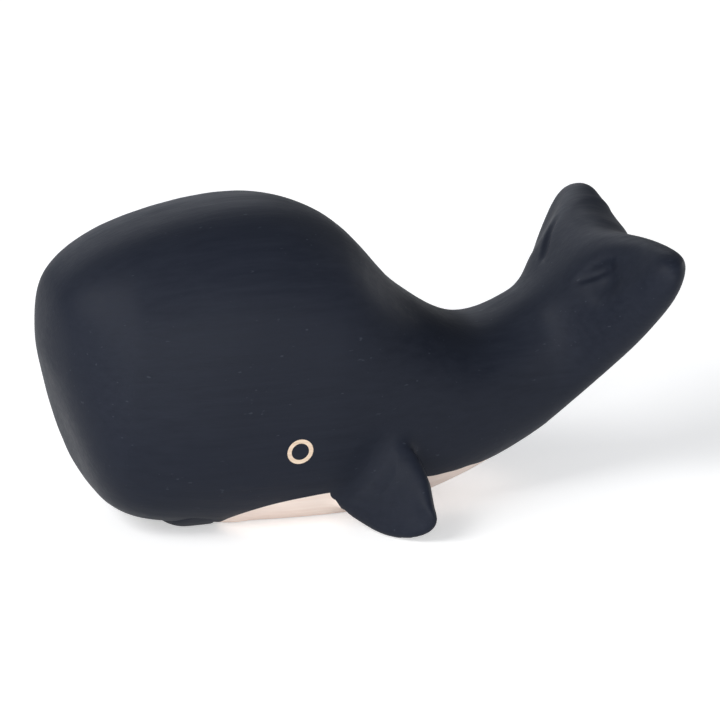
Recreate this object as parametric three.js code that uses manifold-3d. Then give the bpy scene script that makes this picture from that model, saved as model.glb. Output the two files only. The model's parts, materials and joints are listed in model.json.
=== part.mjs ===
// A carved and painted wooden whale figurine that stands on its flat belly.
// Millimetres, +Z up. The whale looks along -X, and its left side faces -Y.
// Body, jaw, belly, tail, flippers and eyes are separate pieces of wood, glued and pinned together.
import * as THREE from "three";
import { LoftGeometry } from "three/addons/geometries/LoftGeometry.js";
import { mergeVertices } from "three/addons/utils/BufferGeometryUtils.js";
import Module from "manifold-3d";

// Length from snout to tail edge; places along the whale are shares of it, counted from the snout
const WHALE_LENGTH = 113.4;

// Line of the back: place along the whale and height above the table
const SNOUT_HEIGHT = 35.3;
const BROW_AT = 0.0247 * WHALE_LENGTH;
const BROW_HEIGHT = 46.3;
const FOREHEAD_AT = 0.1253 * WHALE_LENGTH;
const FOREHEAD_HEIGHT = 53.5;
const CROWN_AT = 0.3486 * WHALE_LENGTH;
const CROWN_HEIGHT = 57.4;
const NAPE_AT = 0.4748 * WHALE_LENGTH;
const NAPE_HEIGHT = 52.3;
const SHOULDER_AT = 0.5869 * WHALE_LENGTH;
const SHOULDER_HEIGHT = 38.8;
const WAIST_AT = 0.7026 * WHALE_LENGTH;
const WAIST_HEIGHT = 31.3;
const STALK_TOP_AT = 0.8032 * WHALE_LENGTH;
const STALK_TOP_HEIGHT = 35.4;
const FLUKE_TOP_AT = 0.8959 * WHALE_LENGTH;
const FLUKE_TOP_HEIGHT = 45.7;
const LOBE_TOP_AT = 0.9532 * WHALE_LENGTH;
const LOBE_TOP_HEIGHT = 47;

// Line of the keel below it; the belly stretch is planed off at the table
const LIP_AT = 0.0168 * WHALE_LENGTH;
const LIP_HEIGHT = 26;
const CHIN_AT = 0.0794 * WHALE_LENGTH;
const CHIN_HEIGHT = 5.4;
const THROAT_AT = 0.1809 * WHALE_LENGTH;
const THROAT_HEIGHT = 0.8;
const BREAST_AT = 0.3663 * WHALE_LENGTH;
const BREAST_DEPTH = 1.2;
const BELLY_AT = 0.5349 * WHALE_LENGTH;
const BELLY_DEPTH = 0.8;
const LOIN_AT = 0.6946 * WHALE_LENGTH;
const LOIN_HEIGHT = 4.2;
const STALK_UNDER_AT = 0.8473 * WHALE_LENGTH;
const STALK_UNDER_HEIGHT = 12.8;
const FLUKE_UNDER_AT = 0.9462 * WHALE_LENGTH;
const FLUKE_UNDER_HEIGHT = 26.5;
const LOBE_UNDER_AT = 0.9912 * WHALE_LENGTH;
const LOBE_UNDER_HEIGHT = 36.8;

// Trailing edge of the tail, where the two lines meet again
const TAIL_EDGE_AT = WHALE_LENGTH;
const TAIL_EDGE_HEIGHT = 43.8;

// Full widths at the stations of those two lines
const BROW_WIDTH = 22.6;
const FOREHEAD_WIDTH = 40.8;
const CROWN_WIDTH = 46;
const NAPE_WIDTH = 45;
const SHOULDER_WIDTH = 39;
const WAIST_WIDTH = 31;
const STALK_WIDTH = 24.4;
const FLUKE_WIDTH = 47.4;
const FLUKE_SPAN = 58.4;
const TAIL_EDGE_WIDTH = 52.6;

// How full the sections are: 2 is an ellipse, more is squarer
const HEAD_FULLNESS = 2.6;
const STALK_FULLNESS = 2.5;
const LOBE_FULLNESS = 2.8;

// Two-lobed tail
const NOTCH_DEPTH = 2.6;
const NOTCH_WIDTH = 17;
const TIP_SETBACK = 2.1;
const TIP_LIFT = 3.6;
const TIP_ROUNDNESS = 3;
const GOUGE_SHARE = 0.9;
const GOUGE_ANGLE = 47;
const GOUGE_LENGTH = 21;
const GOUGE_WIDTH = 9;
const GOUGE_DEPTH = 1.5;

// Belly slab and lower jaw
const BELLY_THICKNESS = 7;
const BELLY_NOSE = 22;
const JAW_FRONT_AT = 0.1783 * WHALE_LENGTH;
const JAW_BACK_AT = 0.2604 * WHALE_LENGTH;
const JAW_WIDTH = 17;
const JAW_HEIGHT = 4.5;
const MOUTH_GAP = 1.2;

// Flippers
const FLIPPER_AT = 0.479 * WHALE_LENGTH;
const FLIPPER_HEIGHT = 12.3;
const FLIPPER_TIP_AT = 0.562 * WHALE_LENGTH;
const FLIPPER_TIP_HEIGHT = 4.8;
const FLIPPER_FLARE = 10;
const FLIPPER_FRONT_WIDTH = 9.7;
const FLIPPER_REAR_WIDTH = 8.8;
const FLIPPER_THICKNESS = 4.9;
const FLIPPER_PROUD = -0.3;
const FLIPPER_TWIST = 9;
const FLIPPER_FRONT_FULLNESS = 2.6;
const FLIPPER_REAR_FULLNESS = 1.7;
const FLIPPER_EDGE_FULLNESS = 2.5;
const FLIPPER_TENON = 2;

// Eyes
const EYE_AT = 0.3654 * WHALE_LENGTH;
const EYE_HEIGHT = 16.6;
const EYE_RING_DIAMETER = 4.9;
const EYE_PUPIL_DIAMETER = 3;
const EYE_DEPTH = 4;

// Pins and fits
const TAIL_DOWEL_DIAMETER = 6;
const TAIL_DOWEL_LENGTH = 22;
const GLUE_GAP = 0.3;
const PEG_GAP = 0.15;

// Fineness of the facets
const ROWS_PER_STATION = 5;
const SIDES = 52;
const ROUND_SIDES = 28;
const LEAF_SIDES = 28;

const wasm = await Module();
wasm.setup();

// A closed geometry as a solid that can be cut and joined.
function solidOf(geometry) {
  const plain = new THREE.BufferGeometry();
  plain.setAttribute("position", geometry.getAttribute("position"));
  plain.setIndex(geometry.getIndex());
  const merged = mergeVertices(plain, 1e-3);
  const corners = merged.getIndex().array;
  const triangles = [];
  for (let i = 0; i < corners.length; i += 3) {
    const [a, b, c] = corners.slice(i, i + 3);
    if (a !== b && b !== c && c !== a) triangles.push(a, b, c);
  }
  const mesh = new wasm.Mesh({
    numProp: 3,
    vertProperties: merged.getAttribute("position").array,
    triVerts: new Uint32Array(triangles),
  });
  return new wasm.Manifold(mesh);
}

// A solid back as a geometry for a mesh.
function geometryOf(solid) {
  const mesh = solid.getMesh();
  const geometry = new THREE.BufferGeometry();
  geometry.setAttribute("position", new THREE.BufferAttribute(mesh.vertProperties, 3));
  geometry.setIndex(new THREE.BufferAttribute(mesh.triVerts, 1));
  geometry.computeVertexNormals();
  return geometry;
}

// The same geometry on the other side of the whale.
function mirrored(geometry) {
  const other = geometry.clone();
  other.scale(1, -1, 1);
  const corners = other.getIndex();
  for (let i = 0; i < corners.count; i += 3) {
    const second = corners.getX(i + 1);
    corners.setX(i + 1, corners.getX(i + 2));
    corners.setX(i + 2, second);
  }
  other.computeVertexNormals();
  return other;
}

// Point of a unit superellipse; fullness 2 is a circle.
function superellipse(angle, fullness) {
  const c = Math.cos(angle);
  const s = Math.sin(angle);
  const reach = (Math.abs(c) ** fullness + Math.abs(s) ** fullness) ** (-1 / fullness);
  return new THREE.Vector2(c * reach, s * reach);
}

// A round peg or bore along a direction, centred on a point.
function rod(diameter, length, centre, direction) {
  const geometry = new THREE.CylinderGeometry(diameter / 2, diameter / 2, length, ROUND_SIDES);
  const turn = new THREE.Quaternion().setFromUnitVectors(new THREE.Vector3(0, 1, 0), direction);
  geometry.applyQuaternion(turn);
  geometry.translate(centre.x, centre.y, centre.z);
  return geometry;
}

// Side outline: one smooth closed line from the snout over the back to the tail edge and home along the keel.
function at(x, z) {
  return new THREE.Vector3(x, 0, z);
}
const shoulder = at(SHOULDER_AT, SHOULDER_HEIGHT);
const waist = at(WAIST_AT, WAIST_HEIGHT);
const stalkTop = at(STALK_TOP_AT, STALK_TOP_HEIGHT);
const backLine = [
  at(0, SNOUT_HEIGHT),
  at(BROW_AT, BROW_HEIGHT),
  at(FOREHEAD_AT, FOREHEAD_HEIGHT),
  at(CROWN_AT, CROWN_HEIGHT),
  at(NAPE_AT, NAPE_HEIGHT),
  shoulder,
  waist,
  stalkTop,
  at(FLUKE_TOP_AT, FLUKE_TOP_HEIGHT),
  at(LOBE_TOP_AT, LOBE_TOP_HEIGHT),
  at(TAIL_EDGE_AT, TAIL_EDGE_HEIGHT),
];
const keelLine = [
  at(LOBE_UNDER_AT, LOBE_UNDER_HEIGHT),
  at(FLUKE_UNDER_AT, FLUKE_UNDER_HEIGHT),
  at(STALK_UNDER_AT, STALK_UNDER_HEIGHT),
  at(LOIN_AT, LOIN_HEIGHT),
  at(BELLY_AT, -BELLY_DEPTH),
  at(BREAST_AT, -BREAST_DEPTH),
  at(THROAT_AT, THROAT_HEIGHT),
  at(CHIN_AT, CHIN_HEIGHT),
  at(LIP_AT, LIP_HEIGHT),
];
const outline = new THREE.CatmullRomCurve3([...backLine, ...keelLine], true);
const lastStation = backLine.length - 1;
const shoulderStation = backLine.indexOf(shoulder);
const waistStation = backLine.indexOf(waist);
const stalkStation = backLine.indexOf(stalkTop);

// Half widths along the same stations.
const widths = new THREE.CatmullRomCurve3(
  [
    0,
    BROW_WIDTH,
    FOREHEAD_WIDTH,
    CROWN_WIDTH,
    NAPE_WIDTH,
    SHOULDER_WIDTH,
    WAIST_WIDTH,
    STALK_WIDTH,
    FLUKE_WIDTH,
    FLUKE_SPAN,
    TAIL_EDGE_WIDTH,
  ].map((width) => new THREE.Vector3(width / 2, 0, 0)),
);
function halfWidthAt(station) {
  return widths.getPoint(station / lastStation).x;
}

// The sections turn from the head's fullness to the stalk's before the waist, and on to the lobes'.
function fullnessAt(station) {
  const stalkShare = THREE.MathUtils.smoothstep(station, shoulderStation, waistStation);
  const lobeShare = THREE.MathUtils.smoothstep(station, stalkStation, lastStation);
  const stalk = THREE.MathUtils.lerp(HEAD_FULLNESS, STALK_FULLNESS, stalkShare);
  return THREE.MathUtils.lerp(stalk, LOBE_FULLNESS, lobeShare);
}

function backAt(station) {
  return outline.getPoint(station / (2 * lastStation));
}
function keelAt(station) {
  return outline.getPoint(1 - station / (2 * lastStation));
}

// The tail runs from the stalk's joint towards the trailing edge.
const jointTop = backAt(stalkStation);
const jointUnder = keelAt(stalkStation);
const jointCentre = jointTop.clone().add(jointUnder).multiplyScalar(0.5);
const jointUp = jointTop.clone().sub(jointUnder).normalize();
const jointAxis = new THREE.Vector3(jointUp.z, 0, -jointUp.x);
const tailAxis = at(TAIL_EDGE_AT, TAIL_EDGE_HEIGHT).sub(jointCentre).normalize();

// Draws the tail edge into two round lobes with a notch between them.
function shapeLobes(point, station, reach) {
  const share = THREE.MathUtils.smoothstep(station, stalkStation, lastStation);
  const roundTip = TIP_SETBACK * (1 - Math.sqrt(1 - reach ** TIP_ROUNDNESS));
  const notch = NOTCH_DEPTH * Math.exp(-((2 * point.y / NOTCH_WIDTH) ** 2));
  point.addScaledVector(tailAxis, -share * (roundTip + notch));
  point.z += share * TIP_LIFT * reach ** 2;
}

// A point of the carved skin: a station along the whale and an angle round its section from the back line.
function skinPoint(station, angle) {
  const back = backAt(station);
  const centre = back.clone().add(keelAt(station)).multiplyScalar(0.5);
  const half = back.sub(centre);
  const rim = superellipse(angle, fullnessAt(station));
  const point = centre.addScaledVector(half, rim.x);
  point.y -= rim.y * halfWidthAt(station);
  shapeLobes(point, station, Math.min(1, Math.abs(rim.y)));
  return point;
}

// The whole carved form, from snout to tail edge.
function wholeForm() {
  const sections = [];
  const rows = lastStation * ROWS_PER_STATION;
  for (let row = 0; row <= rows; row += 1) {
    const section = [];
    for (let side = 0; side < SIDES; side += 1) {
      section.push(skinPoint(row / ROWS_PER_STATION, (2 * Math.PI * side) / SIDES));
    }
    sections.push(section);
  }
  return new LoftGeometry(sections);
}

const REACH = 3 * TAIL_EDGE_AT;

// Everything on one side of a plane through a point, as a block that reaches past the whale.
function blockBeyond(point, direction) {
  const geometry = new THREE.BoxGeometry(REACH, REACH, REACH);
  geometry.translate(REACH / 2, 0, 0);
  const turn = new THREE.Quaternion().setFromUnitVectors(new THREE.Vector3(1, 0, 0), direction);
  geometry.applyQuaternion(turn);
  geometry.translate(point.x, point.y, point.z);
  return solidOf(geometry);
}

// The slab of wood under the belly line: a rounded nose behind the jaw, then a level glue joint.
function bellyBlock(gap) {
  const profile = new THREE.Shape();
  const front = JAW_BACK_AT - gap;
  const top = BELLY_THICKNESS + gap;
  profile.moveTo(front, -REACH);
  profile.lineTo(front, 0);
  profile.absellipse(front + BELLY_NOSE, 0, BELLY_NOSE, top, Math.PI, Math.PI / 2, true);
  profile.lineTo(REACH, top);
  profile.lineTo(REACH, -REACH);
  const geometry = new THREE.ExtrudeGeometry(profile, { depth: REACH, bevelEnabled: false, curveSegments: 10 });
  geometry.translate(0, 0, -REACH / 2);
  geometry.rotateX(Math.PI / 2);
  return solidOf(geometry);
}

// The jaw seen from below: a round tongue; the mouth is the wider slot that it sits in.
function jawBlock(tipGap, sideGap) {
  const half = JAW_WIDTH / 2 + sideGap;
  const back = JAW_BACK_AT - GLUE_GAP + sideGap;
  const length = back - JAW_FRONT_AT + tipGap;
  const plan = new THREE.Shape();
  plan.moveTo(back, half);
  plan.absellipse(back, 0, length, half, Math.PI / 2, (3 * Math.PI) / 2, false);
  plan.closePath();
  const depth = JAW_HEIGHT + sideGap + BELLY_THICKNESS;
  const geometry = new THREE.ExtrudeGeometry(plan, { depth, bevelEnabled: false, curveSegments: 20 });
  geometry.translate(0, 0, -BELLY_THICKNESS);
  return solidOf(geometry);
}

const form = wholeForm();
const formSolid = solidOf(form);
const tableBlock = blockBeyond(at(0, 0), new THREE.Vector3(0, 0, -1));
const standing = formSolid.subtract(tableBlock);

// Where a level line through the whale meets its left flank.
const formMesh = new THREE.Mesh(form, new THREE.MeshStandardMaterial({ side: THREE.DoubleSide }));
function leftFlank(x, z) {
  const ray = new THREE.Raycaster(new THREE.Vector3(x, -REACH, z), new THREE.Vector3(0, 1, 0));
  return ray.intersectObject(formMesh)[0].point;
}

// Eyes: a ring and a pupil let into the head and sanded flush with it
const acrossLeft = new THREE.Vector3(0, -1, 0);
const leftEye = leftFlank(EYE_AT, EYE_HEIGHT);
function eyeRod(diameter, gap) {
  const length = 2 * (EYE_DEPTH + gap);
  return solidOf(rod(diameter, length, leftEye, acrossLeft));
}
const eyeSocket = eyeRod(EYE_RING_DIAMETER + 2 * PEG_GAP, GLUE_GAP);
const eyeRing = eyeRod(EYE_RING_DIAMETER, 0).subtract(eyeRod(EYE_PUPIL_DIAMETER + 2 * PEG_GAP, GLUE_GAP));
const leftEyeRing = geometryOf(standing.intersect(eyeRing));
const leftEyePupil = geometryOf(standing.intersect(eyeRod(EYE_PUPIL_DIAMETER, 0)));

// Flippers: a leaf that leaves the flank along its surface, with its root let into a pocket
const flipperRoot = leftFlank(FLIPPER_AT, FLIPPER_HEIGHT);
const flipperTip = new THREE.Vector3(FLIPPER_TIP_AT, flipperRoot.y - FLIPPER_FLARE, FLIPPER_TIP_HEIGHT);
flipperRoot.y += FLIPPER_THICKNESS / 2 - FLIPPER_PROUD;
const flipperRun = new THREE.Vector3(FLIPPER_TIP_AT - FLIPPER_AT, 0, FLIPPER_TIP_HEIGHT - FLIPPER_HEIGHT);
const flipperLength = flipperRun.length();
// How wide the flipper still is at a share of its length; a fuller edge stays wide for longer.
function tipTaper(along, fullness) {
  return Math.max(0, 1 - Math.abs(along) ** fullness) ** (1 / fullness);
}
function leaf(gap) {
  const bend = flipperRoot.clone().addScaledVector(flipperRun, 0.5);
  const blade = new THREE.QuadraticBezierCurve3(flipperRoot, bend, flipperTip);
  const sections = [];
  const rows = 18;
  const first = -FLIPPER_TENON / flipperLength;
  for (let row = 0; row <= rows; row += 1) {
    const turn = ((row / rows) * Math.PI) / 2;
    const along = first + (1 - first) * Math.sin(turn);
    const centre = along > 0 ? blade.getPoint(along) : flipperRoot.clone().addScaledVector(flipperRun, along);
    const run = along > 0 ? blade.getTangent(along) : flipperRun.clone().normalize();
    const out = acrossLeft.clone().addScaledVector(run, -run.dot(acrossLeft)).normalize();
    const chord = new THREE.Vector3().crossVectors(out, run).normalize();
    chord.applyAxisAngle(run, THREE.MathUtils.degToRad(FLIPPER_TWIST));
    out.crossVectors(run, chord).normalize();
    const frontTaper = tipTaper(along, FLIPPER_FRONT_FULLNESS);
    const rearTaper = tipTaper(along, FLIPPER_REAR_FULLNESS);
    const halfThickness = (FLIPPER_THICKNESS / 2) * Math.sqrt(rearTaper) + gap;
    const section = [];
    for (let side = 0; side < LEAF_SIDES; side += 1) {
      const rim = superellipse((2 * Math.PI * side) / LEAF_SIDES, FLIPPER_EDGE_FULLNESS);
      const taper = rim.x < 0 ? frontTaper : rearTaper;
      const width = rim.x < 0 ? FLIPPER_FRONT_WIDTH : FLIPPER_REAR_WIDTH;
      const point = centre.clone();
      point.addScaledVector(chord, rim.x * (width + gap) * taper);
      point.addScaledVector(out, rim.y * (row < rows ? halfThickness : 0));
      section.push(point);
    }
    sections.push(section);
  }
  return solidOf(new LoftGeometry(sections, { capStart: true }));
}
const flipperPocket = leaf(GLUE_GAP);
const leftFlipper = geometryOf(leaf(0));

// Tail: cut from the same form behind the joint, with one stroke of a gouge in each lobe
function gouge() {
  const station = stalkStation + GOUGE_SHARE;
  const angle = THREE.MathUtils.degToRad(GOUGE_ANGLE);
  const step = 0.05;
  const centre = skinPoint(station, angle);
  const along = skinPoint(station + step, angle).sub(skinPoint(station - step, angle));
  const round = skinPoint(station, angle + step).sub(skinPoint(station, angle - step));
  const up = new THREE.Vector3().crossVectors(along, round).normalize();
  const stroke = new THREE.Vector3(tailAxis.x, -1, tailAxis.z);
  stroke.addScaledVector(up, -stroke.dot(up)).normalize();
  const across = new THREE.Vector3().crossVectors(up, stroke);
  const geometry = new THREE.SphereGeometry(1, ROUND_SIDES, ROUND_SIDES / 2);
  geometry.scale(GOUGE_LENGTH / 2, GOUGE_WIDTH / 2, GOUGE_DEPTH);
  geometry.applyMatrix4(new THREE.Matrix4().makeBasis(stroke, across, up));
  geometry.translate(centre.x, centre.y, centre.z);
  return solidOf(geometry);
}
const behindJoint = blockBeyond(jointCentre, jointAxis);
const behindGlue = blockBeyond(jointCentre.clone().addScaledVector(jointAxis, GLUE_GAP), jointAxis);
const tailBore = solidOf(rod(TAIL_DOWEL_DIAMETER + 2 * PEG_GAP, TAIL_DOWEL_LENGTH + 2 * PEG_GAP, jointCentre, jointAxis));
const leftGouge = gouge();
const rightGouge = solidOf(mirrored(geometryOf(leftGouge)));
const tailFluke = geometryOf(
  formSolid.intersect(behindGlue).subtract(tailBore).subtract(leftGouge).subtract(rightGouge),
);
const tailDowel = rod(TAIL_DOWEL_DIAMETER, TAIL_DOWEL_LENGTH, jointCentre, jointAxis);

// Belly and jaw
const jaw = geometryOf(jawBlock(0, 0).subtract(tableBlock));
const rightPocket = solidOf(mirrored(geometryOf(flipperPocket)));
const belly = geometryOf(standing.intersect(bellyBlock(0)).subtract(flipperPocket).subtract(rightPocket));
const rightEyeSocket = solidOf(mirrored(geometryOf(eyeSocket)));
const body = geometryOf(
  standing
    .subtract(behindJoint)
    .subtract(bellyBlock(GLUE_GAP))
    .subtract(jawBlock(MOUTH_GAP, GLUE_GAP))
    .subtract(eyeSocket)
    .subtract(rightEyeSocket)
    .subtract(flipperPocket)
    .subtract(rightPocket)
    .subtract(tailBore),
);

// Paint and woods
const navyPaint = new THREE.MeshStandardMaterial({ color: "#2c3039", roughness: 0.75, metalness: 0 });
const bellyPaint = new THREE.MeshStandardMaterial({ color: "#ead6c9", roughness: 0.8, metalness: 0 });
const paleWood = new THREE.MeshStandardMaterial({ color: "#ebd3b7", roughness: 0.7, metalness: 0 });
const plainWood = new THREE.MeshStandardMaterial({ color: "#d3b78d", roughness: 0.8, metalness: 0 });

const whale = new THREE.Group();
function addPiece(name, geometry, material) {
  const mesh = new THREE.Mesh(geometry, material);
  mesh.name = name;
  whale.add(mesh);
}
addPiece("body", body, navyPaint);
addPiece("lower_jaw", jaw, navyPaint);
addPiece("belly_panel", belly, bellyPaint);
addPiece("tail_fluke", tailFluke, navyPaint);
addPiece("tail_dowel", tailDowel, plainWood);
addPiece("left_flipper", leftFlipper, navyPaint);
addPiece("right_flipper", mirrored(leftFlipper), navyPaint);
addPiece("left_eye_ring", leftEyeRing, paleWood);
addPiece("right_eye_ring", mirrored(leftEyeRing), paleWood);
addPiece("left_eye_pupil", leftEyePupil, navyPaint);
addPiece("right_eye_pupil", mirrored(leftEyePupil), navyPaint);

// The part's origin lies on the table below the middle of its length
const figurine = new THREE.Group();
figurine.add(whale);
const extent = new THREE.Box3().setFromObject(figurine);
whale.position.x = -(extent.min.x + extent.max.x) / 2;

export default figurine;
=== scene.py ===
"""A carved wooden whale in matt dark blue paint, standing on its pale belly on a white table."""
import json
import math

import bmesh
import bpy
from mathutils import Matrix, Vector
from mathutils.bvhtree import BVHTree


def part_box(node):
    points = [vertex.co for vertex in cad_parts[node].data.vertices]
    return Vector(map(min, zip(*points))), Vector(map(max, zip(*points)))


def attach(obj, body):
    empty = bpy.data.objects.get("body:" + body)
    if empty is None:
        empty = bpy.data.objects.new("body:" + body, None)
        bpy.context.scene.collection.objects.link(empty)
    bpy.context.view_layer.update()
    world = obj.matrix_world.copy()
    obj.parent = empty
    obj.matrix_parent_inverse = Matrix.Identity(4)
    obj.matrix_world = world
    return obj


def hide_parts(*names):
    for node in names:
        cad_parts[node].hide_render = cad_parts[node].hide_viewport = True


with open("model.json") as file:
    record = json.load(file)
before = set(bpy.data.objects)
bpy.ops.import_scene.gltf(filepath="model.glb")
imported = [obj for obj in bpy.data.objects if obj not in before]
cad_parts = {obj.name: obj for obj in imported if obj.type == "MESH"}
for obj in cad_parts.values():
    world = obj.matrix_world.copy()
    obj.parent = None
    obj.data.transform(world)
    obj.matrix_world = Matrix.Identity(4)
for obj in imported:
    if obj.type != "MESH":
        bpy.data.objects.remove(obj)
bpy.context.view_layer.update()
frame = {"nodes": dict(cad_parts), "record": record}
MM = 0.001
SIDES = (("left", -1), ("right", 1))

# Lengths down to the jaw are in millimetres and turns in degrees.
# A place is given by its distance behind the snout, its side and its height.

# The carved block
SWELL = 0.3
GRID = 0.45
SANDING_STROKES = 36
CORNER_JOIN = 0.001
HAIR = 0.005

# Tail
STALK_TOP = (91.08, 0, 35.4)
STALK_UNDER = (96.08, 0, 12.8)
TAIL_BLOCK = 300.0
TAIL_FROM = 93.0
TAIL_STROKES = 80
TAIL_LAST_STROKES = 2
TAIL_TURN = 1.3
TAIL_TURN_FROM = 84.0
TAIL_TURN_WHOLE = 104.0
TAIL_TURN_HEIGHT = 43.0
DOWEL_FIT = 0.15

# Strokes of the gouge on the tail: start, end, width and depth, less deep by a share at both ends
GOUGE_FADE = 0.85
NEAR_HOLLOW = ((98.8, -13.5, 39.0), (103.2, -18.0, 42.1), 13.0, 1.7)
NEAR_CREASE = ((97.2, -10.6, 39.6), (103.2, -15.4, 43.8), 3.2, 1.1)
FAR_SLIT = ((95.6, 2.9, 39.4), (101.2, 11.4, 44.5), 2.8, 1.5)

# Rubbing round a place: the place, how far it reaches and the number of strokes
NEAR_HOLLOW_RUB = ((101.0, -15.8, 40.6), 10.0, 40)
FAR_EDGE_RUB = ((110.8, 7.5, 44.2), 8.0, 25)

# Pushes: the place, how far it reaches and how far the skin moves there
FAR_EDGE_PUSHES = (
    ((110.6, 9.5, 45.4), 7.5, (-0.4, 0, -0.75)),
    ((103.0, 21.5, 41.0), 11.0, (-0.75, 0, 0.1)),
    ((110.8, 5.5, 44.0), 10.0, (0.85, 0, 0.35)),
)
FAR_LOBE_PUSHES = (
    ((109.2, 23.7, 46.6), 7.0, (0.7, 0, 0.3)),
    ((97.6, 11.5, 39.2), 11.0, (-0.6, 0, 0.1)),
)
CHIN_PUSHES = (
    ((6.2, 0, 11.3), 16.0, (0.75, 0, 0.35)),
)
CHEEK_AND_BELLY_PUSHES = (
    ((17.0, 13.3, 4.8), 10.0, (0, 0.5, -0.45)),
    ((31.5, 9.6, 0.6), 5.0, (0, 0.9, 0)),
)
FLIPPER_TIP_PUSHES = (
    ((61.9, 31.2, 2.9), 4.5, (0.85, 0, -0.1)),
    ((63.9, 30.6, 7.8), 5.0, (-0.5, 0, 0)),
)

# Flippers
BLADE_SKIN = 1.0
BLADE_STROKES = 8
FILLET_REACH = 2.4
FILLET_STROKES = 45
ROOT_LOOK_FROM = 0.3
ROOT_LOOK_FAR = 40.0
ROOT_LOOK_UP = 0.25
FLARE_OUT = 1.4
FLARE_FORWARD = -0.45
FLARE_REACH = 6.0
FLIPPER_FIT = 0.5
FLIPPER_FRONT = (49.4, 0, 5.2)
FLIPPER_FRONT_FACING = (-0.83, 0, -0.55)
FLIPPER_FRONT_BLOCK = 80.0
SKIN_FIT = 0.2

# Belly: the dark paint dips round the front root of each flipper
BELLY_FRONT_AT = 29.38
BELLY_NOSE = 22.0
BELLY_NOSE_STEPS = 24
BELLY_LINE = 7.15
BELLY_LINE_STEPS = 40
BELLY_RISE = 0.5
BELLY_WAVES = ((0.1, 0.55, 0.0), (0.06, 1.3, 1.0))
BELLY_WAVE_STARTS_OVER = 6
BELLY_DOWN_TO = -20.0
BELLY_BACK_TO = 150.0
BELLY_SIDE = 60.0
ROOT_PAINT = (50.4, 0, 7.4)
ROOT_PAINT_ACROSS = 4.7
ROOT_PAINT_LENGTH = 200.0

# Eyes
EYE_AT = 41.44
EYE_HEIGHT = 16.6
EYE_RING = 4.8
EYE_PUPIL = 3.22
EYE_SOCKET_LENGTH = 40.0
EYE_HOLE_LENGTH = 50.0

# Jaw: height, half width and the place of the front edge, from the table up
JAW_SECTIONS = (
    (0.0, 8.2, 21.6),
    (0.08, 8.7, 21.1),
    (0.3, 9.4, 20.5),
    (0.6, 10.1, 20.1),
    (1.0, 10.8, 19.8),
    (2.0, 12.3, 19.4),
    (3.0, 13.4, 19.4),
    (3.6, 13.4, 19.6),
)
JAW_REAR_AT = 29.25
JAW_FRONT_SQUARENESS = 2.6
JAW_REAR_SQUARENESS = 12.0
JAW_CORNERS = 96
JAW_HAIR = 0.03

# Table, lamps and camera, in metres, watts and degrees
TABLE_SIZE = 6.0
TABLE_COLOUR = (0.85, 0.85, 0.85, 1.0)
TABLE_LIFT = 0.45
ROOM_COLOUR = (0.92, 0.95, 1.0, 1.0)
ROOM_STRENGTH = 0.22
WHITE = (1.0, 1.0, 1.0)
SKY = (0.88, 0.92, 1.0)
LAMP_AIM = (0, 0, 0.03)
LAMPS = (
    ("window", (-0.95, -0.3, 0.8), (0.8, 0.6), 10.8, WHITE),
    ("front_left", (-0.8, -1.05, 0.3), (0.8, 0.6), 7.0, WHITE),
    ("front_low", (0.1, -1.3, 0.12), (1.2, 0.2), 6.6, WHITE),
    ("back_low", (0.0, 1.2, 0.45), (1.0, 0.6), 3.5, SKY),
    ("rear_low", (1.3, 0.35, 0.25), (0.8, 0.4), 5.0, WHITE),
)
CAMERA_TURN = 18.0
CAMERA_RISE = 18.0
CAMERA_LENS = 333.0
CAMERA_DISTANCE = 1.2
CAMERA_AIM = (0.00031, 0.0, 0.028)
CAMERA_RIGHT = 0.00252
CAMERA_DOWN = 0.00252

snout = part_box("body")[0].x


def along(behind_snout, y, z):
    """A point given by its distance behind the snout, its side and its height, in millimetres."""
    return Vector((snout + behind_snout * MM, y * MM, z * MM))


# Mesh tools of the bench

def copy_of(*nodes):
    """The named solids of the part as one mesh with its corners joined."""
    work = bmesh.new()
    for node in nodes:
        work.from_mesh(frame["nodes"][node].data)
    bmesh.ops.remove_doubles(work, verts=work.verts, dist=CORNER_JOIN * MM)
    return work


def swell(work, distance):
    """Moves the skin out along its own direction, or in where the distance is negative."""
    work.normal_update()
    for vert in work.verts:
        vert.co += vert.normal * distance


def as_object(name, work):
    mesh = bpy.data.meshes.new(name)
    work.to_mesh(mesh)
    work.free()
    thing = bpy.data.objects.new(name, mesh)
    bpy.context.scene.collection.objects.link(thing)
    return thing


def discard(*things):
    for thing in things:
        bpy.data.objects.remove(thing)


def with_modifier(thing, kind, **settings):
    """The mesh of a thing after one modifier."""
    modifier = thing.modifiers.new("step", kind)
    for key, value in settings.items():
        setattr(modifier, key, value)
    bpy.context.view_layer.update()
    seen = thing.evaluated_get(bpy.context.evaluated_depsgraph_get())
    mesh = bpy.data.meshes.new_from_object(seen)
    thing.modifiers.remove(modifier)
    return mesh


def cut(thing, cutter, how):
    """A new mesh: the thing without the cutter, or only what lies inside it."""
    return with_modifier(thing, "BOOLEAN", operation=how, object=cutter, solver="MANIFOLD")


def take_out(thing, cutter, name):
    """Cuts a piece out of the thing along the cutter, leaves the rest, and returns the piece."""
    piece = bpy.data.objects.new(name, cut(thing, cutter, "INTERSECT"))
    bpy.context.scene.collection.objects.link(piece)
    thing.data = cut(thing, cutter, "DIFFERENCE")
    return piece


def keep_largest(thing):
    """Drops all loose bits of a mesh but the largest."""
    work = bmesh.new()
    work.from_mesh(thing.data)
    rest = set(work.verts)
    bits = []
    while rest:
        bit = [rest.pop()]
        for vert in bit:
            for edge in vert.link_edges:
                other = edge.other_vert(vert)
                if other in rest:
                    rest.remove(other)
                    bit.append(other)
        bits.append(bit)
    bits.sort(key=len)
    for bit in bits[:-1]:
        bmesh.ops.delete(work, geom=bit, context="VERTS")
    work.to_mesh(thing.data)
    work.free()


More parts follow.
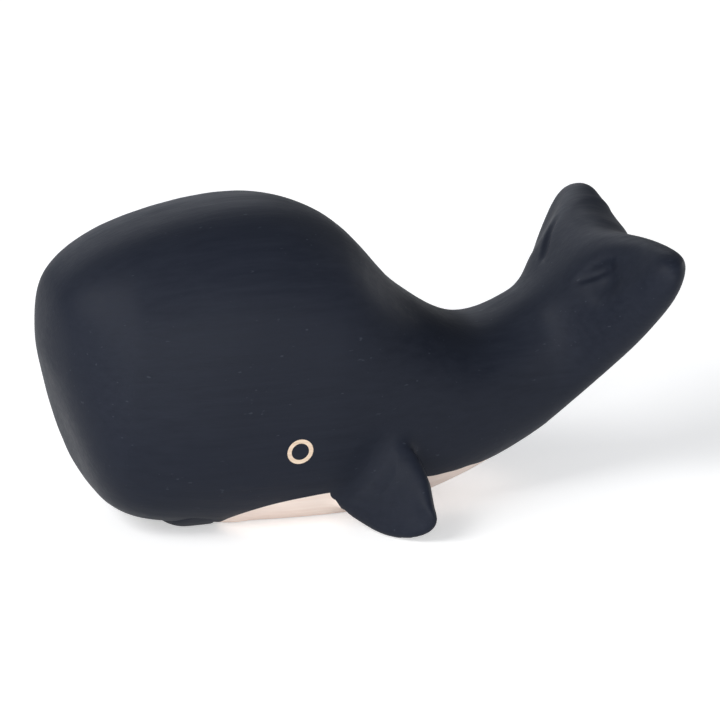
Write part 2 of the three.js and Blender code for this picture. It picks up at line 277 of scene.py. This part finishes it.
def close_seams(thing):
    """Joins the corners that a cut left closer than a hair, and drops flaps and loose bits."""
    work = bmesh.new()
    work.from_mesh(thing.data)
    bmesh.ops.remove_doubles(work, verts=work.verts, dist=HAIR * MM)
    bmesh.ops.triangulate(work, faces=work.faces)
    bmesh.ops.dissolve_degenerate(work, edges=work.edges, dist=HAIR * MM)
    bmesh.ops.triangulate(work, faces=work.faces)
    twins = {}
    for face in work.faces:
        twins.setdefault(frozenset(face.verts), []).append(face)
    flaps = [face for pair in twins.values() if len(pair) > 1 for face in pair]
    bmesh.ops.delete(work, geom=flaps, context="FACES")
    work.to_mesh(thing.data)
    work.free()
    keep_largest(thing)


def block(centre, direction, size):
    """A block with one face through a point, reaching away from it along a direction."""
    work = bmesh.new()
    turn = Vector((1, 0, 0)).rotation_difference(direction).to_matrix().to_4x4()
    place = Matrix.Translation(centre) @ turn @ Matrix.Translation((size / 2, 0, 0))
    bmesh.ops.create_cube(work, size=size, matrix=place)
    return as_object("block", work)


def rod(diameter, length, centre, direction, sides=96):
    work = bmesh.new()
    turn = Vector((0, 0, 1)).rotation_difference(direction).to_matrix().to_4x4()
    bmesh.ops.create_cone(
        work, cap_ends=True, segments=sides, radius1=diameter / 2, radius2=diameter / 2,
        depth=length, matrix=Matrix.Translation(centre) @ turn)
    return as_object("rod", work)


def belly_cutter():
    """Everything under the belly line: a round nose behind the jaw, then a line drawn by hand."""
    line = [(BELLY_FRONT_AT, BELLY_DOWN_TO)]
    for step in range(BELLY_NOSE_STEPS + 1):
        turn = math.pi / 2 * step / BELLY_NOSE_STEPS
        nose_x = BELLY_FRONT_AT + BELLY_NOSE * (1 - math.cos(turn))
        line.append((nose_x, BELLY_LINE * math.sin(turn)))
    for step in range(1, BELLY_LINE_STEPS + 1):
        x = BELLY_FRONT_AT + BELLY_NOSE + step
        wave = sum(height * math.sin(pace * step + start) for height, pace, start in BELLY_WAVES)
        wave *= min(1.0, step / BELLY_WAVE_STARTS_OVER)
        rise = BELLY_RISE * (step / BELLY_LINE_STEPS) ** 2
        line.append((x, BELLY_LINE + rise + wave))
    line.append((BELLY_BACK_TO, BELLY_LINE + BELLY_RISE))
    line.append((BELLY_BACK_TO, BELLY_DOWN_TO))
    work = bmesh.new()
    side = work.faces.new([work.verts.new(along(x, -BELLY_SIDE, z)) for x, z in line])
    grown = bmesh.ops.extrude_face_region(work, geom=[side])
    far = [part for part in grown["geom"] if isinstance(part, bmesh.types.BMVert)]
    bmesh.ops.translate(work, verts=far, vec=(0, 2 * BELLY_SIDE * MM, 0))
    bmesh.ops.recalc_face_normals(work, faces=work.faces)
    return as_object("belly_cutter", work)


# Carving

stalk_top = along(*STALK_TOP)
stalk_under = along(*STALK_UNDER)
joint = (stalk_top + stalk_under) / 2
stalk_up = (stalk_top - stalk_under).normalized()
tailward = Vector((stalk_up.z, 0, -stalk_up.x))


def rub(work, verts, strokes):
    """Smooths the wood with plain strokes, which also take a little off round edges."""
    for stroke in range(strokes):
        bmesh.ops.smooth_vert(work, verts=verts, factor=0.5,
                              use_axis_x=True, use_axis_y=True, use_axis_z=True)


def sand(work, verts, strokes):
    """Smooths the facets away, then gives back the broad form that the strokes took off."""
    before = [vert.co.copy() for vert in work.verts]
    rub(work, verts, strokes)
    lost = work.copy()
    lost.verts.ensure_lookup_table()
    for vert, was in zip(lost.verts, before):
        vert.co = was - vert.co
    rub(lost, [lost.verts[vert.index] for vert in verts], strokes)
    for vert in verts:
        vert.co += lost.verts[vert.index].co
    lost.free()


def skin_of(*nodes):
    """The skin of the named solids, to find what lies near it."""
    work = copy_of(*nodes)
    skin = BVHTree.FromBMesh(work)
    work.free()
    return skin


def blades(work):
    """The skin of the flippers outside their roots."""
    flank = skin_of("body", "belly_panel")
    flippers = skin_of("left_flipper", "right_flipper")
    found = []
    for vert in work.verts:
        if flippers.find_nearest(vert.co, BLADE_SKIN * MM)[0] is None:
            continue
        if flank.find_nearest(vert.co, FILLET_REACH * MM)[0] is None:
            found.append(vert)
    return found


def behind(work, distance):
    return [vert for vert in work.verts if vert.co.x > snout + distance * MM]


def rub_round(work, place, reach, strokes):
    centre = along(*place)
    rub(work, [vert for vert in work.verts if (vert.co - centre).length < reach * MM], strokes)


def ease(share):
    """A share from 0 to 1 that starts and ends gently."""
    share = max(0.0, min(1.0, share))
    return share * share * (3 - 2 * share)


def turn_tail(work):
    """The tail was carved a little askew: its left lobe sits higher than its right one."""
    middle = along(0, 0, TAIL_TURN_HEIGHT)
    for vert in behind(work, TAIL_TURN_FROM):
        share = (vert.co.x - snout) / MM - TAIL_TURN_FROM
        angle = math.radians(-TAIL_TURN) * ease(share / (TAIL_TURN_WHOLE - TAIL_TURN_FROM))
        vert.co = middle + Matrix.Rotation(angle, 3, "X") @ (vert.co - middle)


def gouge(work, stroke):
    """A stroke of the gouge: a hollow along a line, deepest in the middle."""
    start, end, width, depth = stroke
    start = along(*start)
    line = along(*end) - start
    work.normal_update()
    for vert in work.verts:
        share = max(0.0, min(1.0, (vert.co - start).dot(line) / line.length_squared))
        away = (vert.co - start - line * share).length / (width * MM / 2)
        if away < 1:
            fade = 1 - GOUGE_FADE * (2 * share - 1) ** 2
            vert.co -= vert.normal * depth * MM * fade * (1 - away * away) ** 3


def press(work, pushes, side=1):
    """Pushes the skin round each place, most at the place itself. A side of -1 mirrors the pushes."""
    for (x, y, z), reach, (back, out, up) in pushes:
        centre = along(x, side * y, z)
        move = Vector((back, side * out, up)) * MM
        for vert in work.verts:
            away = (vert.co - centre).length / (reach * MM)
            if away < 1:
                vert.co += move * (1 - away * away) ** 2


def flare(work, verts):
    """Bends the flippers out a little more towards their tips."""
    flank = skin_of("body", "belly_panel")
    for vert in verts:
        away = flank.find_nearest(vert.co)[3] / MM
        share = ease((away - FILLET_REACH) / FLARE_REACH)
        side = -1 if vert.co.y < 0 else 1
        vert.co += Vector((FLARE_FORWARD, side * FLARE_OUT, 0)) * MM * share


def flipper_roots(work):
    """The skin where a flipper leaves the flank, apart from what lies behind the flipper."""
    whole = BVHTree.FromBMesh(work)
    flank_skin = skin_of("body", "belly_panel")
    roots = []
    for side, sign in SIDES:
        blade_skin = skin_of(side + "_flipper")
        out = Vector((0, sign, ROOT_LOOK_UP)).normalized()
        for vert in work.verts:
            if vert.co.y * sign < 0:
                continue
            if blade_skin.find_nearest(vert.co, FILLET_REACH * MM)[0] is None:
                continue
            if flank_skin.find_nearest(vert.co, FILLET_REACH * MM)[0] is None:
                continue
            eye = vert.co + vert.normal * ROOT_LOOK_FROM * MM
            if whole.ray_cast(eye, out, ROOT_LOOK_FAR * MM)[0] is None:
                roots.append(vert)
    return roots


def carve_whole():
    """Body, tail, flippers, belly and eyes as one smooth carved form."""
    parts = ["body", "belly_panel", "tail_fluke", "tail_dowel", "left_flipper", "right_flipper",
             "left_eye_ring", "right_eye_ring", "left_eye_pupil", "right_eye_pupil"]
    work = copy_of(*parts)
    swell(work, SWELL * MM)
    rough = as_object("rough", work)
    fused = with_modifier(rough, "REMESH", mode="VOXEL", voxel_size=GRID * MM)
    discard(rough)
    work = bmesh.new()
    work.from_mesh(fused)
    work.verts.index_update()
    crisp = blades(work)
    kept = set(crisp)
    sand(work, [vert for vert in work.verts if vert not in kept], SANDING_STROKES)
    sand(work, crisp, BLADE_STROKES)
    sand(work, behind(work, TAIL_FROM), TAIL_STROKES)
    rub(work, flipper_roots(work), FILLET_STROKES)
    turn_tail(work)
    flare(work, crisp)
    gouge(work, NEAR_HOLLOW)
    rub_round(work, *NEAR_HOLLOW_RUB)
    gouge(work, NEAR_CREASE)
    gouge(work, FAR_SLIT)
    rub(work, behind(work, TAIL_FROM), TAIL_LAST_STROKES)
    press(work, FAR_EDGE_PUSHES)
    rub_round(work, *FAR_EDGE_RUB)
    press(work, FAR_LOBE_PUSHES)
    press(work, CHIN_PUSHES)
    for side, sign in SIDES:
        press(work, CHEEK_AND_BELLY_PUSHES, sign)
    swell(work, -SWELL * MM)
    return as_object("whale_body", work)


def carve_jaw():
    """A low bump under the chin, round in front and flush with the flanks behind."""
    work = bmesh.new()
    made = bmesh.ops.create_circle(work, cap_ends=True, segments=JAW_CORNERS, radius=1.0)
    rim = made["verts"]
    circle = [(vert.co.x, vert.co.y) for vert in rim]
    face = list(work.faces)[0]
    for level, (height, half_width, front) in enumerate(JAW_SECTIONS):
        if level:
            grown = bmesh.ops.extrude_discrete_faces(work, faces=[face])
            face = grown["faces"][0]
            rim = list(face.verts)
        middle = (front + JAW_REAR_AT) / 2
        half_length = (JAW_REAR_AT - front) / 2
        for vert, (x, y) in zip(rim, circle):
            power = 2 / (JAW_FRONT_SQUARENESS if x < 0 else JAW_REAR_SQUARENESS)
            squared_x = math.copysign(abs(x) ** power, x)
            squared_y = math.copysign(abs(y) ** power, y)
            vert.co = along(middle + half_length * squared_x, half_width * squared_y, height)
    bmesh.ops.remove_doubles(work, verts=work.verts, dist=JAW_HAIR * MM)
    bmesh.ops.holes_fill(work, edges=work.edges)
    bmesh.ops.recalc_face_normals(work, faces=work.faces)
    return as_object("whale_lower_jaw", work)


whale = carve_whole()
pieces = {}

# Tail
tail_block = block(joint, tailward, TAIL_BLOCK * MM)
pieces["tail_fluke"] = take_out(whale, tail_block, "whale_tail_fluke")
discard(tail_block)

# Flippers
for side, sign in SIDES:
    work = copy_of(side + "_flipper")
    flare(work, work.verts)
    swell(work, FLIPPER_FIT * MM)
    pocket = as_object("pocket", work)
    for node in ("body", "belly_panel"):
        work = copy_of(node)
        swell(work, SKIN_FIT * MM)
        flank = as_object("flank", work)
        pocket.data = cut(pocket, flank, "DIFFERENCE")
        discard(flank)
    front = block(along(*FLIPPER_FRONT), Vector(FLIPPER_FRONT_FACING), FLIPPER_FRONT_BLOCK * MM)
    pocket.data = cut(pocket, front, "DIFFERENCE")
    discard(front)
    keep_largest(pocket)
    flipper = take_out(whale, pocket, "whale_%s_flipper" % side)
    discard(pocket)
    work = bmesh.new()
    work.from_mesh(flipper.data)
    press(work, FLIPPER_TIP_PUSHES, sign)
    work.to_mesh(flipper.data)
    work.free()
    pieces[side + "_flipper"] = flipper

# Belly
cutter = belly_cutter()
root_paint = rod(ROOT_PAINT_ACROSS * MM, ROOT_PAINT_LENGTH * MM, along(*ROOT_PAINT), Vector((0, 1, 0)))
cutter.data = cut(cutter, root_paint, "DIFFERENCE")
discard(root_paint)
pieces["belly_panel"] = take_out(whale, cutter, "whale_belly_panel")
discard(cutter)

# Eyes
for side, sign in SIDES:
    low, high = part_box(side + "_eye_ring")
    floor_y = min(abs(low.y), abs(high.y))
    centre = along(EYE_AT, 0, EYE_HEIGHT)
    centre.y = sign * (floor_y + EYE_SOCKET_LENGTH / 2 * MM)
    out = Vector((0, sign, 0))
    socket = rod(EYE_RING * MM, EYE_SOCKET_LENGTH * MM, centre, out)
    ring = take_out(whale, socket, "whale_%s_eye_ring" % side)
    hole = rod(EYE_PUPIL * MM, EYE_HOLE_LENGTH * MM, centre, out)
    pieces[side + "_eye_pupil"] = take_out(ring, hole, "whale_%s_eye_pupil" % side)
    pieces[side + "_eye_ring"] = ring
    discard(socket, hole)

# Dowel bore
work = copy_of("tail_dowel")
swell(work, DOWEL_FIT * MM)
bore = as_object("bore", work)
whale.data = cut(whale, bore, "DIFFERENCE")
pieces["tail_fluke"].data = cut(pieces["tail_fluke"], bore, "DIFFERENCE")
discard(bore)

# Jaw
jaw = carve_jaw()
jaw.data = cut(jaw, whale, "DIFFERENCE")
keep_largest(jaw)
pieces["lower_jaw"] = jaw
pieces["body"] = whale

for thing in pieces.values():
    close_seams(thing)


# Finishes

def rounded_shading(thing, limit=38.0):
    """Smooth shading that stops at the sharp edges of a cut."""
    work = bmesh.new()
    work.from_mesh(thing.data)
    for face in work.faces:
        face.smooth = True
    for edge in work.edges:
        if len(edge.link_faces) == 2:
            edge.smooth = edge.calc_face_angle(0.0) < math.radians(limit)
    work.to_mesh(thing.data)
    work.free()


class Finish:
    """A material with its node tree and small helpers for the nodes."""

    def __init__(self, name):
        self.material = bpy.data.materials.new(name)
        self.material.use_nodes = True
        self.tree = self.material.node_tree
        self.tree.nodes.clear()
        self.shader = self.add("ShaderNodeBsdfPrincipled")
        output = self.add("ShaderNodeOutputMaterial")
        self.join(self.shader.outputs["BSDF"], output.inputs["Surface"])
        self.place = self.add("ShaderNodeTexCoord").outputs["Object"]

    def add(self, kind, **settings):
        node = self.tree.nodes.new(kind)
        for key, value in settings.items():
            setattr(node, key, value)
        return node

    def join(self, source, target):
        self.tree.links.new(source, target)

    def stretched(self, scale):
        """Object coordinates stretched by a scale along each axis."""
        node = self.add("ShaderNodeMapping")
        node.inputs["Scale"].default_value = scale
        self.join(self.place, node.inputs["Vector"])
        return node.outputs["Vector"]

    def noise(self, place, scale, detail, roughness):
        node = self.add("ShaderNodeTexNoise")
        node.inputs["Scale"].default_value = scale
        node.inputs["Detail"].default_value = detail
        node.inputs["Roughness"].default_value = roughness
        self.join(place, node.inputs["Vector"])
        return node.outputs["Fac"]

    def ramp(self, source, *stops):
        node = self.add("ShaderNodeValToRGB")
        while len(node.color_ramp.elements) < len(stops):
            node.color_ramp.elements.new(0.5)
        for element, (place, colour) in zip(node.color_ramp.elements, stops):
            element.position = place
            element.color = (*colour, 1.0)
        self.join(source, node.inputs["Fac"])
        return node.outputs["Color"]

    def span(self, source, start, end, low, high):
        """A value between start and end, spread over low to high."""
        node = self.add("ShaderNodeMapRange")
        node.inputs["From Min"].default_value = start
        node.inputs["From Max"].default_value = end
        node.inputs["To Min"].default_value = low
        node.inputs["To Max"].default_value = high
        self.join(source, node.inputs["Value"])
        return node.outputs["Result"]

    def mix(self, share, below, colour):
        """A colour laid by a share over what is below it."""
        node = self.add("ShaderNodeMix", data_type="RGBA")
        first, second = [socket for socket in node.inputs if socket.type == "RGBA"]
        self.join(share, node.inputs["Factor"])
        self.join(below, first)
        second.default_value = (*colour, 1.0)
        return [socket for socket in node.outputs if socket.type == "RGBA"][0]

    def bump(self, height, strength, distance, below=None):
        node = self.add("ShaderNodeBump")
        node.inputs["Strength"].default_value = strength
        node.inputs["Distance"].default_value = distance
        self.join(height, node.inputs["Height"])
        if below is not None:
            self.join(below, node.inputs["Normal"])
        return node.outputs["Normal"]


def from_srgb(red, green, blue):
    """A colour as seen on a screen, 0 to 255, as the shader's linear colour."""
    def linear(value):
        value /= 255
        return value / 12.92 if value <= 0.04045 else ((value + 0.055) / 1.055) ** 2.4
    return tuple(linear(value) for value in (red, green, blue))


def navy_paint():
    """Matt dark blue paint, thin enough that the grain and the brush still show."""
    paint = Finish("navy_paint")
    grain = paint.noise(paint.stretched((0.05, 1.0, 1.0)), scale=900.0, detail=4.0, roughness=0.6)
    fine = paint.noise(paint.stretched((0.12, 1.0, 1.0)), scale=2600.0, detail=2.0, roughness=0.5)
    cloud = paint.noise(paint.stretched((0.6, 1.0, 1.0)), scale=55.0, detail=2.0, roughness=0.5)
    flecks = paint.noise(paint.stretched((0.4, 1.0, 1.0)), scale=1500.0, detail=1.0, roughness=0.5)
    tone = paint.ramp(grain, (0.3, from_srgb(25, 29, 39)), (0.72, from_srgb(32, 36, 46)))
    clouded = paint.span(cloud, start=0.3, end=0.7, low=0.0, high=0.5)
    tone = paint.mix(clouded, tone, from_srgb(28, 32, 43))
    flecked = paint.span(flecks, start=0.74, end=0.8, low=0.0, high=0.3)
    tone = paint.mix(flecked, tone, from_srgb(70, 76, 86))
    paint.join(tone, paint.shader.inputs["Base Color"])
    rough = paint.span(grain, start=0.3, end=0.7, low=0.5, high=0.6)
    paint.join(rough, paint.shader.inputs["Roughness"])
    paint.shader.inputs["Specular IOR Level"].default_value = 0.12
    ridges = paint.bump(grain, strength=0.12, distance=0.0003)
    ridges = paint.bump(fine, strength=0.08, distance=0.0002, below=ridges)
    paint.join(ridges, paint.shader.inputs["Normal"])
    return paint.material


def belly_paint():
    """Pale pinkish cream paint with a faint grain."""
    paint = Finish("belly_paint")
    grain = paint.noise(paint.stretched((0.05, 1.0, 1.0)), scale=800.0, detail=4.0, roughness=0.6)
    cloud = paint.noise(paint.stretched((0.6, 1.0, 1.0)), scale=60.0, detail=2.0, roughness=0.5)
    tone = paint.ramp(grain, (0.3, from_srgb(236, 217, 206)), (0.7, from_srgb(247, 234, 224)))
    clouded = paint.span(cloud, start=0.35, end=0.65, low=0.0, high=0.6)
    tone = paint.mix(clouded, tone, from_srgb(242, 223, 214))
    paint.join(tone, paint.shader.inputs["Base Color"])
    paint.shader.inputs["Roughness"].default_value = 0.65
    paint.shader.inputs["Specular IOR Level"].default_value = 0.3
    ridges = paint.bump(grain, strength=0.1, distance=0.0003)
    paint.join(ridges, paint.shader.inputs["Normal"])
    return paint.material


def bare_wood(name, dark, light):
    """Sanded bare wood with a fine long grain."""
    wood = Finish(name)
    grain = wood.noise(wood.stretched((0.08, 1.0, 1.0)), scale=2200.0, detail=4.0, roughness=0.6)
    wood.join(wood.ramp(grain, (0.3, dark), (0.7, light)), wood.shader.inputs["Base Color"])
    wood.shader.inputs["Roughness"].default_value = 0.6
    wood.shader.inputs["Specular IOR Level"].default_value = 0.3
    ridges = wood.bump(grain, strength=0.15, distance=0.0002)
    wood.join(ridges, wood.shader.inputs["Normal"])
    return wood.material


finishes = {
    "navy_paint": navy_paint(),
    "belly_paint": belly_paint(),
    "pale_wood": bare_wood("pale_wood", from_srgb(213, 189, 164), from_srgb(231, 210, 188)),
    "plain_wood": bare_wood("plain_wood", from_srgb(196, 164, 120), from_srgb(218, 190, 148)),
}
slot_of = {entry["node"]: entry["material_slot"] for entry in frame["record"]["subparts"]}
for node, thing in pieces.items():
    rounded_shading(thing)
    thing.data.materials.clear()
    thing.data.materials.append(finishes[slot_of[node]])
    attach(thing, "root")
    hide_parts(node)
dowel = frame["nodes"]["tail_dowel"]
dowel.data.materials.clear()
dowel.data.materials.append(finishes["plain_wood"])


# Table, light and camera

def straight_to_eye(tree):
    """1 for what the camera sees straight, in a gloss or through glass, and 0 for light on the object."""
    path = tree.nodes.new("ShaderNodeLightPath")
    most = path.outputs["Is Camera Ray"]
    for ray in ("Is Glossy Ray", "Is Transmission Ray"):
        larger = tree.nodes.new("ShaderNodeMath")
        larger.operation = "MAXIMUM"
        tree.links.new(most, larger.inputs[0])
        tree.links.new(path.outputs[ray], larger.inputs[1])
        most = larger.outputs["Value"]
    return most


def brightness(tree, seen, rest, target):
    """A strength with one value where the camera looks and another for the light on the object."""
    level = tree.nodes.new("ShaderNodeMapRange")
    level.inputs["To Min"].default_value = rest
    level.inputs["To Max"].default_value = seen
    tree.links.new(straight_to_eye(tree), level.inputs["Value"])
    tree.links.new(level.outputs["Result"], target)


def white_table():
    """A plain pale table top that is white to the camera where nothing shades it."""
    work = bmesh.new()
    bmesh.ops.create_grid(work, x_segments=2, y_segments=2, size=TABLE_SIZE)
    table = as_object("table_top", work)
    material = bpy.data.materials.new("table_white")
    material.use_nodes = True
    tree = material.node_tree
    tree.nodes.clear()
    diffuse = tree.nodes.new("ShaderNodeBsdfDiffuse")
    diffuse.inputs["Color"].default_value = TABLE_COLOUR
    lift = tree.nodes.new("ShaderNodeEmission")
    both = tree.nodes.new("ShaderNodeAddShader")
    output = tree.nodes.new("ShaderNodeOutputMaterial")
    brightness(tree, seen=TABLE_LIFT, rest=0.0, target=lift.inputs["Strength"])
    tree.links.new(diffuse.outputs["BSDF"], both.inputs[0])
    tree.links.new(lift.outputs["Emission"], both.inputs[1])
    tree.links.new(both.outputs["Shader"], output.inputs["Surface"])
    table.data.materials.append(material)


def soft_lamp(name, place, size, power, colour):
    data = bpy.data.lights.new(name, "AREA")
    data.color = colour
    data.shape = "RECTANGLE"
    data.size, data.size_y = size
    data.energy = power
    lamp = bpy.data.objects.new(name, data)
    bpy.context.scene.collection.objects.link(lamp)
    lamp.location = place
    lamp.rotation_euler = (Vector(LAMP_AIM) - Vector(place)).to_track_quat("-Z", "Y").to_euler()


def light_room():
    world = bpy.data.worlds.new("room")
    bpy.context.scene.world = world
    world.use_nodes = True
    back = world.node_tree.nodes["Background"]
    back.inputs["Color"].default_value = ROOM_COLOUR
    back.inputs["Strength"].default_value = ROOM_STRENGTH
    for lamp in LAMPS:
        soft_lamp(*lamp)


def set_camera():
    data = bpy.data.cameras.new("camera")
    data.sensor_width = 36.0
    data.lens = CAMERA_LENS
    data.clip_start = 0.05
    data.clip_end = 50.0
    camera = bpy.data.objects.new("camera", data)
    bpy.context.scene.collection.objects.link(camera)
    turn = math.radians(CAMERA_TURN)
    rise = math.radians(CAMERA_RISE)
    level = math.cos(rise)
    back = Vector((-math.sin(turn) * level, -math.cos(turn) * level, math.sin(rise)))
    right = Vector((math.cos(turn), -math.sin(turn), 0.0))
    up = back.cross(right)
    aim = Vector(CAMERA_AIM) + right * CAMERA_RIGHT - up * CAMERA_DOWN
    camera.location = aim + back * CAMERA_DISTANCE
    camera.rotation_euler = (-back).to_track_quat("-Z", "Y").to_euler()
    bpy.context.scene.camera = camera


white_table()
light_room()
set_camera()
bpy.context.scene.view_settings.view_transform = "Standard"
